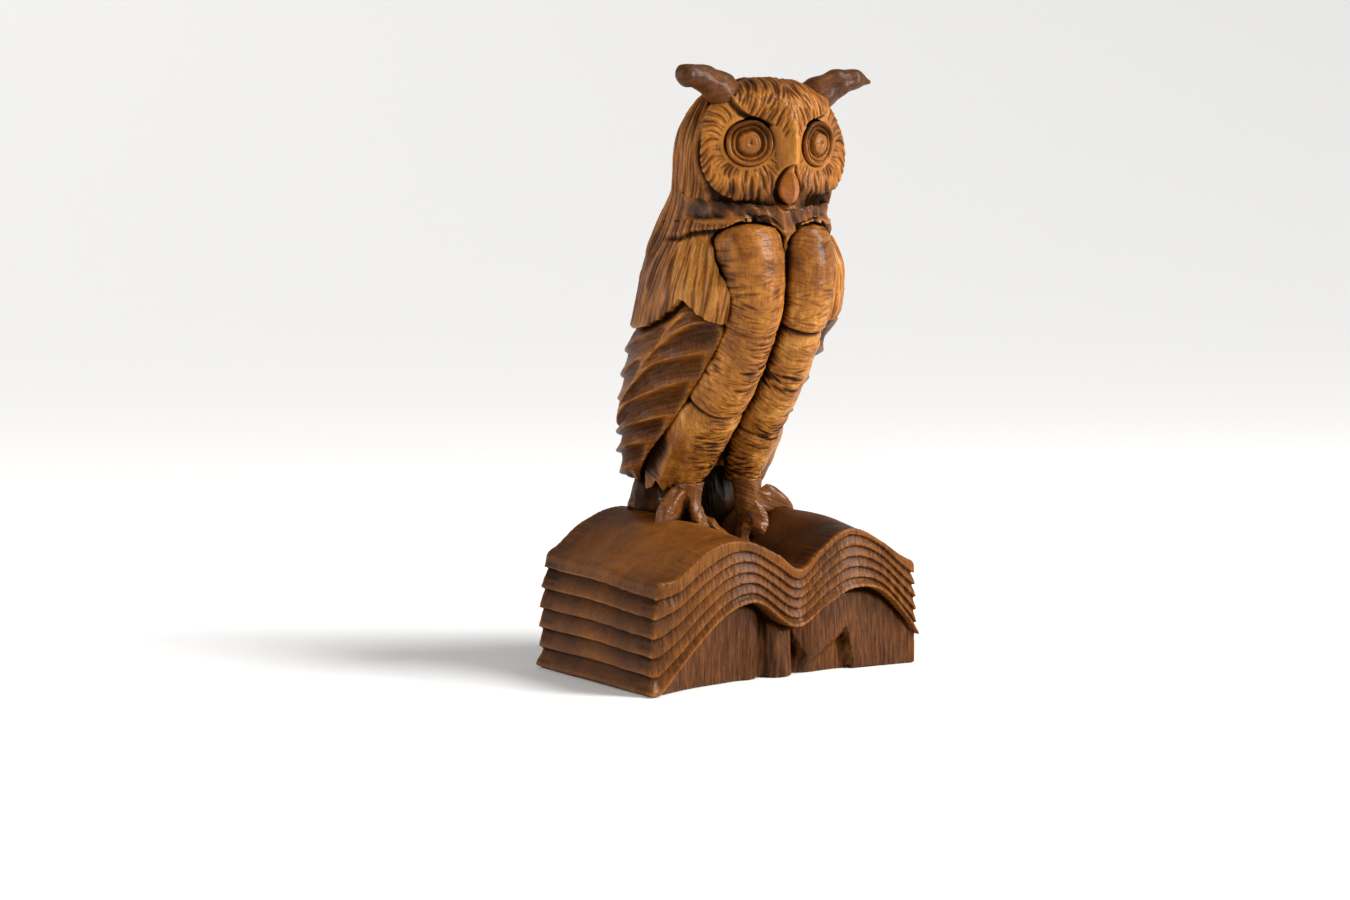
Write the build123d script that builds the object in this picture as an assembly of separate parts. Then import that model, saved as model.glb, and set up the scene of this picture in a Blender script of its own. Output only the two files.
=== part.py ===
from build123d import *
import math
import os

# A carved wooden owl standing on a carved open book, built up from glued blanks.
# Millimetres. +Z is up, the owl faces -Y, and +X is on the right of someone facing the owl.
# The origin is the centre of the flat underside of the book.

# ---- driving dimensions: the open book ----
BOOK_HALF_DEPTH = 29.4          # front and back faces stand at -Y and +Y
GUTTER_X = 5.0                  # the fold between the two page blocks is off centre
COVER_THICKNESS = 3.2           # cover board, measured upright
BACK_RISE = 4.4                 # the top of the book is higher at the back than at the front
SPINE_HALF_WIDTH = 6.0
SUPPORT_SETBACK = 5.0           # the supporting block stands back from the page ends

# ---- driving dimensions: the owl ----
OWL_X = 1.5                     # middle plane of the figure
CORE_HALF_WIDTH = 14.0          # flat glue faces between the core and the side blanks
SHOULDER_Z = 131.0              # top of the side blanks
COVERT_Z = 101.0                # where the coverts end and the flight feathers begin
NECK_Z = 139.0                  # height of the glued neck joint at the middle of the body
NECK_TILT = 12.0                # degrees, the neck joint drops towards the breast
HEAD_TURN = -4.0                # degrees, the face looks slightly towards -X
HEAD_PIVOT = (OWL_X, -9.0)
EYE_RADIUS = 6.6
EYE_THICKNESS = 7.0
EYE_SPACING = 23.0
EYE_Z = 152.8
EYE_SPLAY = 19.0                # degrees, each eye looks outwards
FACE_Y = -30.2                  # front of the brow ridge between the eyes
ANKLE = (OWL_X - 10.6, 7.5, 53.5)      # left ankle, where the leg meets the foot
BODY_BOTTOM_Z = 60.0
TAIL_TOP_Z = 76.0
EAR_ROOT = (OWL_X - 12.0, -17.5, 165.0)
EAR_TENON_RADIUS = 3.0
ANKLE_DOWEL_RADIUS = 2.0
NECK_DOWEL_RADIUS = 4.0
NECK_DOWEL_LENGTH = 26.0
RING_POINTS = 16                # points round each lofted section
FAR = 60.0                      # reaches past the model on every side


def ring(z, cx, cy, half_width, front, back):
    """A level egg-shaped section with its own reach to the front (-Y) and to the back (+Y)."""
    points = []
    for i in range(RING_POINTS):
        angle = 2 * math.pi * i / RING_POINTS
        reach = back if math.sin(angle) > 0 else front
        points.append((cx + half_width * math.cos(angle), cy + reach * math.sin(angle), z))
    return make_face(Spline(*points, periodic=True))


def stack(sections):
    """A smooth solid through level sections, each (z, cx, cy, half_width, front, back)."""
    return loft([ring(*section) for section in sections])


def block(x_range, y_range, z_range):
    """A box between two limits on each axis."""
    size = [high - low for low, high in (x_range, y_range, z_range)]
    middle = [(high + low) / 2 for low, high in (x_range, y_range, z_range)]
    return Pos(*middle) * Box(*size)


def other_side(shape):
    """The same shape on the other side of the owl's middle plane."""
    return mirror(shape, about=Plane.YZ.offset(OWL_X))


def rod(start, end, radius):
    """A round rod between two points."""
    axis = Vector(*end) - Vector(*start)
    return extrude(Plane(origin=start, z_dir=axis) * Circle(radius), axis.length)


def horn(points, radii):
    """A tapering round limb through a few points, with a radius at each."""
    path = Spline(*points)
    faces = []
    for i, radius in enumerate(radii):
        at = i / (len(radii) - 1)
        faces.append(Plane(origin=path @ at, z_dir=path % at) * Circle(radius))
    return loft(faces)


# ================= the open book =================

def wave(points, y):
    """One wavy line of the book's end, at depth y."""
    return Spline(*[(x, y, z) for x, z in points])


def book_section(rise, y):
    """Outline of the whole book at depth y: two arches on top, bulging fore-edges, flat below."""
    left = (-38.5, 32.0 + rise)
    right = (45.5, 31.0 + rise)
    top = wave([left, (-29.0, 38.0 + rise), (-15.0, 41.0 + rise), (-3.0, 35.5 + 0.6 * rise),
                (GUTTER_X, 31.5), (12.0, 36.5 + 0.6 * rise), (22.5, 42.5 + rise),
                (35.0, 38.0 + rise), right], y)
    right_edge = Spline((right[0], y, right[1]), (47.6, y, 14.0), (45.6, y, 0.0))
    floor = Line((45.6, y, 0.0), (-45.4, y, 0.0))
    left_edge = Spline((-45.4, y, 0.0), (-46.4, y, 9.0), (left[0], y, left[1]))
    return make_face([top, right_edge, floor, left_edge])


def under_wave(drop):
    """Everything below the wavy underside of the cover, moved down by drop."""
    line = [(-50.0, -4.0), (-41.0, 3.5), (-31.0, 13.3), (-12.0, 23.4), (GUTTER_X - 0.5, 15.0),
            (24.0, 24.3), (36.0, 22.0), (52.0, 4.0)]
    y = -BOOK_HALF_DEPTH - 5
    low = -20.0
    top = wave([(x, z - drop) for x, z in line], y)
    first = top @ 0
    last = top @ 1
    sides = Polyline(last, (last.X, y, low), (first.X, y, low), first)
    return extrude(make_face([top, sides]), 2 * BOOK_HALF_DEPTH + 10, dir=(0, 1, 0))


book = loft([book_section(0, -BOOK_HALF_DEPTH), book_section(BACK_RISE, BOOK_HALF_DEPTH)], ruled=True)

below_cover = under_wave(0)
below_pages = under_wave(-COVER_THICKNESS)
pages = book - below_pages
page_block_left = pages - block((GUTTER_X, FAR), (-FAR, FAR), (-1, FAR))
page_block_right = pages - block((-FAR, GUTTER_X), (-FAR, FAR), (-1, FAR))
book_cover = (book & below_pages) - below_cover


def support_plan():
    """Plan of the supporting block: ends flush at the fore-edges, set back between, spine proud."""
    front = -BOOK_HALF_DEPTH
    inner = front + SUPPORT_SETBACK
    spine = front + 0.4 * SUPPORT_SETBACK
    left_of_spine = GUTTER_X - SPINE_HALF_WIDTH
    right_of_spine = GUTTER_X + SPINE_HALF_WIDTH
    half = [(-47.0, front + 0.6), (-24.0, inner), (left_of_spine, inner), (left_of_spine + 2, spine),
            (right_of_spine - 2, spine), (right_of_spine, inner), (30.0, inner), (47.0, front + 0.6)]
    other = [(x, -y) for x, y in reversed(half)]
    return make_face(Polyline(*half, *other, close=True))


book_support = (book & below_cover) & extrude(support_plan(), FAR)

# ================= the owl: raw carved forms =================

# the core: back, breast and nape, leaning forward as it rises
core = stack([
    (50.0, OWL_X, 18.5, 13.0, 6.0, 8.0),
    (62.0, OWL_X, 16.5, 16.0, 10.0, 12.0),
    (78.0, OWL_X, 9.5, 20.5, 16.0, 18.0),
    (95.0, OWL_X, 1.0, 24.5, 20.5, 23.5),
    (112.0, OWL_X, -5.0, 25.5, 20.5, 25.5),
    (126.0, OWL_X, -7.5, 24.8, 20.0, 24.5),
    (136.0, OWL_X, -9.5, 24.2, 19.5, 22.5),
    (150.0, OWL_X, -11.0, 23.0, 17.0, 19.0),
])

# the head: widest across the facial discs, domed above
skull = stack([
    (126.0, OWL_X, -9.0, 20.0, 15.0, 20.0),
    (134.0, OWL_X, -10.0, 24.5, 18.5, 22.5),
    (143.0, OWL_X, -11.5, 26.0, 19.0, 22.0),
    (152.0, OWL_X, -13.0, 26.6, 18.5, 20.5),
    (160.0, OWL_X, -14.0, 25.6, 16.8, 18.0),
    (167.0, OWL_X, -15.0, 20.0, 13.5, 13.0),
    (172.0, OWL_X, -15.5, 10.5, 8.0, 8.0),
])

# one breast-and-leg column on the left: a long barrel that runs down and back to the ankle
column = stack([
    (ANKLE[2], ANKLE[0], ANKLE[1], 4.2, 4.2, 5.0),
    (58.5, OWL_X - 9.8, 5.6, 5.6, 5.6, 7.0),
    (64.0, OWL_X - 9.2, 3.0, 6.9, 7.0, 8.0),
    (73.0, OWL_X - 8.6, -2.5, 7.8, 8.4, 9.0),
    (83.0, OWL_X - 8.3, -9.5, 8.2, 9.0, 9.0),
    (93.0, OWL_X - 8.2, -15.2, 8.4, 9.4, 9.0),
    (101.0, OWL_X - 8.2, -19.0, 8.6, 9.8, 9.0),
    (109.0, OWL_X - 8.2, -21.6, 8.7, 9.8, 9.0),
    (118.0, OWL_X - 8.1, -22.2, 8.4, 9.2, 9.0),
    (124.0, OWL_X - 8.0, -22.2, 6.6, 7.2, 7.0),
    (127.5, OWL_X - 8.0, -21.8, 3.0, 3.6, 4.0),
])

# one folded wing on the left: a lens that narrows to a tip over the tail
wing_form = stack([
    (55.5, OWL_X - 19.5, 22.0, 4.2, 3.8, 4.6),
    (62.0, OWL_X - 19.2, 18.0, 7.0, 6.5, 8.5),
    (72.0, OWL_X - 18.8, 12.0, 9.3, 9.5, 14.0),
    (82.0, OWL_X - 18.4, 7.0, 10.5, 12.5, 18.5),
    (92.0, OWL_X - 18.2, 1.5, 11.3, 15.5, 21.5),
    (101.0, OWL_X - 18.0, -2.8, 12.0, 18.0, 23.0),
    (110.0, OWL_X - 18.0, -5.0, 12.2, 20.0, 23.5),
    (118.0, OWL_X - 17.8, -6.5, 11.6, 19.5, 22.5),
    (126.0, OWL_X - 16.4, -7.0, 9.6, 16.0, 20.0),
    (132.0, OWL_X - 14.5, -7.5, 8.5, 12.5, 17.0),
])

# the tail: a broad flat wedge that stands on the pages at the back
tail_form = stack([
    (34.0, OWL_X, 23.0, 17.0, 6.0, 5.6),
    (50.0, OWL_X, 23.0, 16.5, 6.0, 6.0),
    (66.0, OWL_X, 21.5, 14.5, 7.5, 8.0),
    (84.0, OWL_X, 18.0, 11.0, 6.0, 7.0),
])


def raw_foot():
    """Left foot: an ankle pad and three toes spreading forward over the page."""
    x, y, top = ANKLE
    pad = stack([
        (top - 14.5, x, y - 0.5, 7.0, 6.0, 6.0),
        (top - 6.5, x, y, 6.2, 5.5, 6.0),
        (top, x, y, 4.2, 4.2, 5.0),
    ])
    start = Vector(x, y, top - 2.5)
    for tip in [(OWL_X - 23.5, 2.0, 42.5), (OWL_X - 12.0, -6.5, 43.0), (OWL_X - 4.0, -7.0, 38.5)]:
        knuckle = (start + Vector(*tip)) / 2 + Vector(0, 0, 0.8)
        pad += horn([start, knuckle, Vector(*tip)], [2.6, 3.0, 2.0])
    return pad & block((-FAR, FAR), (-FAR, FAR), (30, top))


def raw_ear():
    """Left ear tuft: a curved horn that leans out nearly level, with a tenon into the head."""
    route = [EAR_ROOT, (OWL_X - 19.0, -19.0, 170.0), (OWL_X - 26.0, -20.5, 171.8),
             (OWL_X - 33.5, -21.5, 170.2)]
    root = Vector(*EAR_ROOT)
    tenon = rod(root, root + Vector(6.0, 3.0, -6.0), EAR_TENON_RADIUS)
    return horn(route, [6.2, 5.4, 3.9, 3.6, 2.0]) + tenon


# ================= joints between the owl's blanks =================

neck_tilt = math.radians(NECK_TILT)
neck_plane = Plane(origin=(OWL_X, -4.0, NECK_Z), z_dir=(0, -math.sin(neck_tilt), math.cos(neck_tilt)))
above_neck = extrude(neck_plane * Rectangle(2 * FAR, 2 * FAR), 80)
neck_middle = Vector(OWL_X, -8.0, NECK_Z)
neck_reach = neck_plane.z_dir * (NECK_DOWEL_LENGTH / 2)
neck_dowel = rod(neck_middle - neck_reach, neck_middle + neck_reach, NECK_DOWEL_RADIUS)

ankle_dowel_left = rod((ANKLE[0], ANKLE[1] - 1.5, 28.0), (ANKLE[0], ANKLE[1] - 1.5, 66.0), ANKLE_DOWEL_RADIUS)
ankle_dowel_right = other_side(ankle_dowel_left)

# the joint between coverts and flight feathers slopes down towards the back
covert_plane = Plane(origin=(OWL_X, 0, COVERT_Z), z_dir=(0, 0.25, 1))
above_covert = extrude(covert_plane * Rectangle(3 * FAR, 3 * FAR), FAR)

left_of_core = block((-FAR, OWL_X - CORE_HALF_WIDTH), (-FAR, FAR), (40, SHOULDER_Z))
right_of_core = other_side(left_of_core)

# ================= the owl: fitted pieces =================

columns = column + other_side(column)
wings = wing_form + other_side(wing_form)

side_blank = (wing_form & left_of_core) - columns
wing_left = side_blank & above_covert
wing_right = other_side(wing_left)
flight_feathers_left = side_blank - above_covert
flight_feathers_right = other_side(flight_feathers_left)

tail = tail_form - book - block((-FAR, FAR), (-FAR, FAR), (TAIL_TOP_Z, 100)) - wings - columns

body = core - above_neck - left_of_core - right_of_core - columns - tail_form - neck_dowel
body = body - block((-FAR, FAR), (-FAR, FAR), (30, BODY_BOTTOM_Z))

leg_left = (column - ankle_dowel_left) & block((-FAR, OWL_X), (-FAR, FAR), (0, 3 * FAR))
leg_right = other_side(leg_left)

foot_left = raw_foot() - book - ankle_dowel_left - tail_form
foot_right = other_side(raw_foot()) - book - ankle_dowel_right - tail_form

page_block_left = page_block_left - ankle_dowel_left
page_block_right = page_block_right - ankle_dowel_right

# ================= the head group =================


def outward(side):
    """The level direction in which one eye looks; side is -1 on the left and +1 on the right."""
    splay = math.radians(EYE_SPLAY)
    return Vector(side * math.sin(splay), -math.cos(splay), 0)


def turned(shape):
    """The shape turned with the head about the upright axis of the neck."""
    x, y = HEAD_PIVOT
    return Pos(x, y, 0) * Rot(0, 0, HEAD_TURN) * Pos(-x, -y, 0) * shape


def eye(side):
    """A round disc let into the face, with a softened front rim."""
    front = Vector(OWL_X + side * EYE_SPACING / 2, FACE_Y + 0.6, EYE_Z)
    disc = rod(front - outward(side) * EYE_THICKNESS, front, EYE_RADIUS)
    rim = disc.edges().filter_by(GeomType.CIRCLE).sort_by_distance(front)[0]
    return fillet(rim, 1.2)


def in_front_of_face(side):
    """The wood carved away in front of one facial disc."""
    face_plane = Plane(origin=(OWL_X, FACE_Y, EYE_Z), z_dir=outward(side))
    return extrude(face_plane * Rectangle(90, 90), 20)


beak_form = stack([
    (135.0, OWL_X, -28.6, 1.2, 1.0, 3.0),
    (138.5, OWL_X, -27.8, 2.6, 3.4, 6.0),
    (142.5, OWL_X, -27.4, 3.2, 4.2, 6.0),
    (146.5, OWL_X, -28.0, 1.4, 2.0, 4.0),
])

ear_tuft_left = turned(raw_ear())
ear_tuft_right = turned(other_side(raw_ear()))
eye_left = turned(eye(-1))
eye_right = turned(eye(1))
beak = turned(beak_form)
face = turned(skull - in_front_of_face(-1) - in_front_of_face(1))
head = (face & above_neck) - neck_dowel - ear_tuft_left - ear_tuft_right - eye_left - eye_right - beak

# ================= one file for each piece =================

pieces = {
    "book_support": book_support,
    "book_cover": book_cover,
    "page_block_left": page_block_left,
    "page_block_right": page_block_right,
    "body": body,
    "tail": tail,
    "leg_left": leg_left,
    "leg_right": leg_right,
    "foot_left": foot_left,
    "foot_right": foot_right,
    "wing_left": wing_left,
    "wing_right": wing_right,
    "flight_feathers_left": flight_feathers_left,
    "flight_feathers_right": flight_feathers_right,
    "ankle_dowel_left": ankle_dowel_left,
    "ankle_dowel_right": ankle_dowel_right,
    "neck_dowel": neck_dowel,
    "head": head,
    "ear_tuft_left": ear_tuft_left,
    "ear_tuft_right": ear_tuft_right,
    "eye_left": eye_left,
    "eye_right": eye_right,
    "beak": beak,
}

os.makedirs("parts", exist_ok=True)
for name, piece in pieces.items():
    export_step(piece, f"parts/{name}.step")
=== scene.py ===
import math
from functools import partial

import bpy
import numpy as np
import openvdb
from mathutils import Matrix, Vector


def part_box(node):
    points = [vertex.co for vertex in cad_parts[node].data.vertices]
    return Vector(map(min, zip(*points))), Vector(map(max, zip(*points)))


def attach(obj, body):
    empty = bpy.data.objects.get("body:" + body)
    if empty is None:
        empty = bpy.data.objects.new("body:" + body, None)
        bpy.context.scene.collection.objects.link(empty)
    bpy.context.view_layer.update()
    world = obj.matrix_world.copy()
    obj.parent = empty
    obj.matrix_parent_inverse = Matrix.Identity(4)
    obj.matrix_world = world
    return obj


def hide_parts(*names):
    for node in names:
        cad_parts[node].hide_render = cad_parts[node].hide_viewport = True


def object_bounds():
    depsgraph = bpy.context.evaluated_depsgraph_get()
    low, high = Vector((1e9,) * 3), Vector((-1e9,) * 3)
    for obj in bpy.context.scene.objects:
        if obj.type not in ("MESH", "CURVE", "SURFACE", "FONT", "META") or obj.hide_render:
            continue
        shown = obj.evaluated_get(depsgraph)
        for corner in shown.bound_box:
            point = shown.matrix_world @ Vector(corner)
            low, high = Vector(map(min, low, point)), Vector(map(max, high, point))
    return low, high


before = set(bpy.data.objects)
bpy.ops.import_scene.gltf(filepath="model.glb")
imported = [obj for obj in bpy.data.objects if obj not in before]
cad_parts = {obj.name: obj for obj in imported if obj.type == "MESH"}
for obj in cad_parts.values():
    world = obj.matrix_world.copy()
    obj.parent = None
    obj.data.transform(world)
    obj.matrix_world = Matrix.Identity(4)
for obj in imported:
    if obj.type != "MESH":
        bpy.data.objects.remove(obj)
cad_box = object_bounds()

# The carving is sculpted in millimetres as distance fields, then meshed and scaled to metres.
# In a field's value, negative is wood and positive is air.
MM = 0.001
MARGIN = 3.0  # room round a piece on its grid


# ---- places, from the frame

def span(node):
    """Lowest and highest corner of a CAD node, in millimetres."""
    low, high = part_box(node)
    return np.array(low) / MM, np.array(high) / MM


OWL_X = float(np.mean([corner[0] for corner in span("body")]))
NECK_Y, NECK_Z = (float(v) for v in np.mean(span("neck_dowel"), axis=0)[1:])
DOWEL_X, DOWEL_Y = (float(v) for v in np.mean(span("ankle_dowel_left"), axis=0)[:2])
EYE_Z = float(np.mean([corner[2] for corner in span("eye_left")]))
BOOK_FRONT = float(span("page_block_left")[0][1])
BOOK_BACK = float(span("page_block_left")[1][1])
GUTTER_X = float(span("page_block_right")[0][0])
EAR_TIP = float(OWL_X - span("ear_tuft_left")[0][0])
LEFT_END = float(span("page_block_left")[0][0]) - 0.6
RIGHT_END = float(span("page_block_right")[1][0]) + 0.8

HEAD_TURN = math.radians(-3.0)  # the face looks slightly towards -X
HEAD_PIVOT_Y = -9.0
NECK_TILT = math.radians(12.0)
EYE_SPLAY = math.radians(18.0)
EYE_OUT = 11.8  # from the middle of the face to an eye
FACE_Y = -30.2  # front of the brow ridge
ANKLE_OUT = OWL_X - DOWEL_X
SEAM = 0.8  # pieces run this far into each other behind a glued seam
BLANK_SEAM = 13.0  # from the middle of the owl to the glued side blanks
SHOULDER_Z = 130.5  # top of the side blanks
EYE_Y = FACE_Y + EYE_OUT * math.tan(EYE_SPLAY)
LET_IN = 0.25  # wood beside a leg column runs this far into it
SUNK = 0.3  # feet and tail run this far into the pages


# ---- shaping tools

def smooth_min(a, b, k):
    """Union of two fields with a fillet about k wide."""
    h = np.maximum(k - np.abs(a - b), 0) / k
    return np.minimum(a, b) - h * h * k / 4


def smooth_max(a, b, k):
    """Intersection of two fields with the edge rounded about k wide."""
    return -smooth_min(-a, -b, k)


def blend(a, b, share):
    return a + (b - a) * share


def step(x, low, high):
    """0 below low, 1 above high, smooth between."""
    t = np.clip((x - low) / (high - low), 0, 1)
    return t * t * (3 - 2 * t)


def bump(x, middle, half_width):
    """1 at the middle, falling smoothly to 0 at half_width away."""
    return step(half_width - np.abs(x - middle), 0, half_width)


def curve(knots, values, count=240):
    """A smooth function of one number through the given values."""
    knots = np.array(knots, float)
    values = np.array(values, float)
    slopes = np.gradient(values, knots)
    at = np.linspace(knots[0], knots[-1], count)
    i = np.clip(np.searchsorted(knots, at, side="right") - 1, 0, len(knots) - 2)
    gap = knots[i + 1] - knots[i]
    t = (at - knots[i]) / gap
    a, b = values[i], values[i + 1]
    ma, mb = slopes[i] * gap, slopes[i + 1] * gap
    dense = ((2 * t**3 - 3 * t**2 + 1) * a + (t**3 - 2 * t**2 + t) * ma
             + (3 * t**2 - 2 * t**3) * b + (t**3 - t**2) * mb)
    return lambda x: np.interp(x, at, dense)


def stack(sections):
    """Field of a solid through level sections, each (z, cx, cy, half_width, front, back)."""
    z_knots, *columns = zip(*sorted(sections))
    parts = [curve(z_knots, column) for column in columns]
    bottom, top = z_knots[0], z_knots[-1]

    def field(x, y, z):
        cx, cy, a, front, back = (part(z) for part in parts)
        dx, dy = x - cx, y - cy
        b = np.where(dy > 0, back, front)
        near = np.sqrt((dx / a) ** 2 + (dy / b) ** 2 + 1e-6)
        slope = np.sqrt((dx / a**2) ** 2 + (dy / b**2) ** 2 + 1e-6 / (a * b))
        side = near * (near - 1) / slope
        return np.maximum(side, np.maximum(bottom - z, z - top))
    field.centre_y = parts[1]
    field.centre_x = parts[0]
    return field


def near_segment(x, y, z, p, q):
    """Share of the way from p to q that lies nearest each point, and the squared distance to it."""
    d = [b - a for a, b in zip(p, q)]
    run = (x - p[0]) * d[0] + (y - p[1]) * d[1] + (z - p[2]) * d[2]
    t = np.clip(run / sum(c * c for c in d), 0, 1)
    return t, (x - p[0] - t * d[0]) ** 2 + (y - p[1] - t * d[1]) ** 2 + (z - p[2] - t * d[2]) ** 2


def limb(x, y, z, points, radii, k=1.0):
    """Field of a chain of round cones through points."""
    total = None
    for p, q, r0, r1 in zip(points, points[1:], radii, radii[1:]):
        t, away2 = near_segment(x, y, z, p, q)
        part = np.sqrt(away2) - blend(r0, r1, t)
        total = part if total is None else smooth_min(total, part, k)
    return total


def smooth_path(points, per_span=5):
    """More points on a smooth line through a few."""
    points = np.array(points, float)
    knots = np.arange(len(points))
    at = np.linspace(0, len(points) - 1, per_span * (len(points) - 1) + 1)
    return np.stack([curve(knots, column, 400)(at) for column in points.T], axis=1)


def distance_to_path(x, y, z, path):
    """Shortest distance from each point to a line of points."""
    best = 1e9
    for p, q in zip(path, path[1:]):
        best = np.minimum(best, near_segment(x, y, z, p, q)[1])
    return np.sqrt(best)


def groove(x, y, z, path, half_width):
    """Depth from 0 to 1 of a V cut that follows a path."""
    return np.maximum(1 - distance_to_path(x, y, z, path) / half_width, 0)


def chance(i, j, seed):
    """A fixed pseudo-random number from 0 to 1 for each pair of whole numbers."""
    i, j = np.asarray(i, np.int64), np.asarray(j, np.int64)
    h = (i * 374761393 + j * 668265263 + seed * 974634777) & 0xFFFFFFFF
    for shift, factor in ((13, 1274126177), (16, 2246822519)):
        h = ((h ^ (h >> shift)) * factor) & 0xFFFFFFFF
    return ((h ^ (h >> 15)) & 0xFFFFFF) / float(0x1000000)


def waves(u, v, seed):
    """Smooth noise from -1 to 1 with cells 1 wide."""
    iu, iv = np.floor(u), np.floor(v)
    fu, fv = step(u - iu, 0, 1), step(v - iv, 0, 1)
    low = blend(chance(iu, iv, seed), chance(iu + 1, iv, seed), fu)
    high = blend(chance(iu, iv + 1, seed), chance(iu + 1, iv + 1, seed), fu)
    return blend(low, high, fv) * 2 - 1


def strokes(across, along, width, length, seed, lean=0.25):
    """Depth from 0 to 1 of short V-tool cuts that run along, scattered over a surface.

    There is one cut in each cell. Its place, lean, length and width come from four chances, and it
    reaches over into the cells beside its own.
    """
    pitch_a, pitch_b = width * 0.95, length * 0.6
    ia, ib = np.floor(across / pitch_a), np.floor(along / pitch_b)
    deep = np.zeros(np.shape(across))
    for da in (-1, 0, 1):
        for db in (-1, 0, 1):
            ca, cb = ia + da, ib + db
            r = [chance(ca, cb, seed + n) for n in range(4)]
            middle_b = (cb + 0.5 + (r[1] - 0.5) * 0.9) * pitch_b
            middle_a = (ca + 0.5 + (r[0] - 0.5) * 0.9) * pitch_a
            v = along - middle_b
            u = across - middle_a - lean * (r[2] - 0.5) * v
            u = np.abs(u) / (width * (0.35 + 0.35 * r[3]))
            v = v / (length * (0.35 + 0.3 * r[2]))
            cut = np.maximum(1 - u, 0) * np.sqrt(np.maximum(1 - v * v, 0)) * (0.45 + 0.55 * r[3])
            deep = np.maximum(deep, cut)
    return deep


def facets(u, v, seed):
    """Flat-sided noise from -1 to 1 with straight creases, as a knife leaves it, in cells 1 wide."""
    iu, iv = np.floor(u), np.floor(v)
    fu, fv = u - iu, v - iv
    high = [chance(iu + a, iv + b, seed) * 2 - 1 for a, b in ((0, 0), (1, 0), (0, 1), (1, 1))]
    lower = high[0] + (high[1] - high[0]) * fu + (high[2] - high[0]) * fv
    upper = high[3] + (high[2] - high[3]) * (1 - fu) + (high[1] - high[3]) * (1 - fv)
    return np.where(fu + fv < 1, lower, upper)


def scoops(u, v, seed):
    """Depth from 0 to 1 of gouge scoops, deepest in each cell's middle, with sharp ridges between."""
    iu, iv = np.floor(u), np.floor(v)
    nearest = np.full(np.shape(u), 9.0)
    for a in (-1, 0, 1):
        for b in (-1, 0, 1):
            cu, cv = iu + a, iv + b
            du = u - cu - 0.5 - (chance(cu, cv, seed) - 0.5) * 0.7
            dv = v - cv - 0.5 - (chance(cu, cv, seed + 1) - 0.5) * 0.7
            nearest = np.minimum(nearest, du * du + dv * dv)
    return np.maximum(1 - nearest / 0.6, 0)


def flute(count):
    """Depth from 0 to 1 of parallel hollow cuts with a sharp ridge at each whole number."""
    part = count - np.floor(count)
    return 1 - (2 * part - 1) ** 2


# ---- the owl's forms

def head_frame(x, y, z):
    """Sideways and forward place on the figure, untwisted: the head is turned, the body isn't."""
    turn = HEAD_TURN * step(z, 124, 142)
    c, s = np.cos(turn), np.sin(turn)
    dx, dy = x - OWL_X, y - HEAD_PIVOT_Y
    return c * dx + s * dy, c * dy - s * dx + HEAD_PIVOT_Y


def above_neck(y, z):
    """Height above the tilted neck joint."""
    return (z - NECK_Z) * math.cos(NECK_TILT) - (y - NECK_Y) * math.sin(NECK_TILT)


figure = stack([
    (49, 0, 18.5, 13, 6, 8),
    (62, 0, 16.5, 16, 10, 12),
    (78, 0, 9.5, 20.5, 16, 18),
    (95, 0, 1, 24.5, 20.5, 23.5),
    (112, 0, -5, 25.5, 19.5, 25.5),
    (122, 0, -7, 25, 18.8, 25),
    (129, 0, -8.2, 24.6, 20, 25),
    (136, 0, -9.8, 24.2, 18.8, 23.4),
    (143, 0, -11.5, 24.8, 18, 21.8),
    (152, 0, -13, 25.4, 17.8, 20.5),
    (158, 0, -14, 24.6, 16.5, 17.8),
    (163, 0, -14.6, 21.8, 15, 15.2),
    (167.5, 0, -15.2, 17.8, 12.6, 12.2),
    (170.2, 0, -15.4, 12, 9, 8.6),
    (171.4, 0, -15.5, 7, 5.4, 5.2),
    (171.8, 0, -15.5, 3.6, 3, 3),
])

column_form = stack([
    (51, -10.9, 8.2, 3.6, 3.4, 4),
    (54.5, -10.5, 7.2, 4.5, 4.4, 5),
    (58.5, -9.9, 5.6, 6.2, 5.8, 7),
    (64, -9.4, 3, 7.4, 7, 8),
    (73, -8.8, -2.5, 8.2, 8.4, 9),
    (83, -8.6, -9.5, 8.5, 9, 9),
    (93, -8.5, -15.2, 8.7, 9.4, 9),
    (101, -8.5, -19, 8.9, 9.8, 9),
    (109, -8.7, -21.4, 9.2, 9.8, 9),
    (114, -8.9, -21.8, 9.4, 9.6, 10.6),
    (119, -9, -22, 9.5, 9.2, 13.2),
    (124, -9, -22, 9, 8.4, 13.4),
    (127.6, -8.9, -21.8, 7.6, 7.5, 11.6),
    (129.6, -8.8, -21.8, 5.2, 5.4, 7.6),
    (130.4, -8.7, -21.8, 2.4, 3, 3),
])

thigh_form = stack([
    (51, -14.6, 13, 5, 4.5, 7.5),
    (57, -14.8, 11.5, 7, 6.5, 10.5),
    (64, -14.6, 8, 7.6, 7.6, 11),
    (72, -13.2, 2.5, 7, 8, 10),
    (80, -12, -4.5, 6.5, 7.2, 9),
    (90, -11.2, -11.5, 6.2, 6.6, 8),
    (100, -10.5, -16, 5.5, 5.5, 7),
])

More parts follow.
